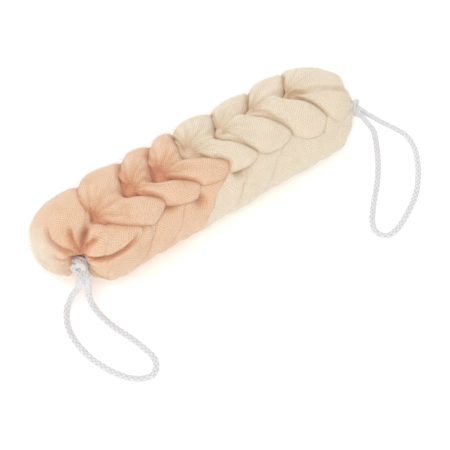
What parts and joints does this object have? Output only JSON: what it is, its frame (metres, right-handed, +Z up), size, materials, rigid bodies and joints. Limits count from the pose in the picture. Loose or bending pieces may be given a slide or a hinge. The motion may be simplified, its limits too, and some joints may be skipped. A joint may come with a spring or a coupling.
{
  "type": "bath back scrubber",
  "caption": "Long soft bath scrubber: a fat chain-stitched body of puffy mesh netting, peach and cream, with a braided cord hand loop tied on at each end.",
  "frame": {"origin": "middle of the flat underside that the scrubber rests on, halfway along the netting body", "axes": "+X along the body from the peach end to the cream end, +Y across it away from the side the hand loops lie on, +Z up out of the stitched face"},
  "size_m": [0.414, 0.1895, 0.0871],
  "materials": {
    "peach_netting": "fine soft mesh netting, matt with a faint sheen",
    "cream_netting": "fine soft mesh netting, matt with a faint sheen",
    "white_cord": "braided cord, soft satin",
    "tie_thread": "plain thread"
  },
  "bodies": {
    "peach_outer": {"peach_far_lobe_1": "peach_netting", "peach_near_lobe_1": "peach_netting", "peach_back_loop_1": "peach_netting", "peach_far_lobe_2": "peach_netting", "peach_near_lobe_2": "peach_netting", "peach_back_loop_2": "peach_netting", "peach_running_strand_a": "peach_netting"},
    "peach_middle": {"peach_far_lobe_3": "peach_netting", "peach_near_lobe_3": "peach_netting", "peach_back_loop_3": "peach_netting", "peach_far_lobe_4": "peach_netting", "peach_near_lobe_4": "peach_netting", "peach_back_loop_4": "peach_netting", "peach_running_strand_b": "peach_netting"},
    "cream_middle": {"cream_far_lobe_5": "cream_netting", "cream_near_lobe_5": "cream_netting", "cream_back_loop_5": "cream_netting", "cream_far_lobe_6": "cream_netting", "cream_near_lobe_6": "cream_netting", "cream_back_loop_6": "cream_netting", "cream_running_strand_c": "cream_netting", "centre_tie": "tie_thread"},
    "cream_outer": {"cream_far_lobe_7": "cream_netting", "cream_near_lobe_7": "cream_netting", "cream_back_loop_7": "cream_netting", "cream_far_lobe_8": "cream_netting", "cream_near_lobe_8": "cream_netting", "cream_back_loop_8": "cream_netting", "cream_running_strand_d": "cream_netting"},
    "peach_tie": {"peach_gathered_end": "peach_netting", "peach_hitch": "white_cord", "peach_cord_knot": "white_cord"},
    "peach_loop": {"peach_hand_loop": "white_cord"},
    "cream_tie": {"cream_gathered_end": "cream_netting", "cream_hitch": "white_cord", "cream_cord_knot": "white_cord"},
    "cream_loop": {"cream_hand_loop": "white_cord"}
  },
  "joints": [
    {"name": "peach_flex", "type": "hinge", "parent": "peach_middle", "child": "peach_outer", "pos_m": [-0.083, 0, 0.044], "axis": [0, 1, 0], "range_deg": [-20, 20]},
    {"name": "centre_flex", "type": "hinge", "parent": "peach_middle", "child": "cream_middle", "pos_m": [-0.012, 0, 0.044], "axis": [0, 1, 0], "range_deg": [-20, 20]},
    {"name": "cream_flex", "type": "hinge", "parent": "cream_middle", "child": "cream_outer", "pos_m": [0.06, 0, 0.044], "axis": [0, 1, 0], "range_deg": [-20, 20]},
    {"name": "peach_tie_swing", "type": "hinge", "parent": "peach_outer", "child": "peach_tie", "pos_m": [-0.15, -0.02, 0.04], "axis": [0, 0, 1], "range_deg": [-15, 5]},
    {"name": "peach_loop_lift", "type": "hinge", "parent": "peach_tie", "child": "peach_loop", "pos_m": [-0.15, -0.02, 0.04], "axis": [-1, 0, 0], "range_deg": [0, 40]},
    {"name": "cream_tie_swing", "type": "hinge", "parent": "cream_outer", "child": "cream_tie", "pos_m": [0.176, -0.018, 0.04], "axis": [0, 0, 1], "range_deg": [-20, 60]},
    {"name": "cream_loop_lift", "type": "hinge", "parent": "cream_tie", "child": "cream_loop", "pos_m": [0.176, -0.018, 0.04], "axis": [-1, 0, 0], "range_deg": [0, 70]}
  ]
}
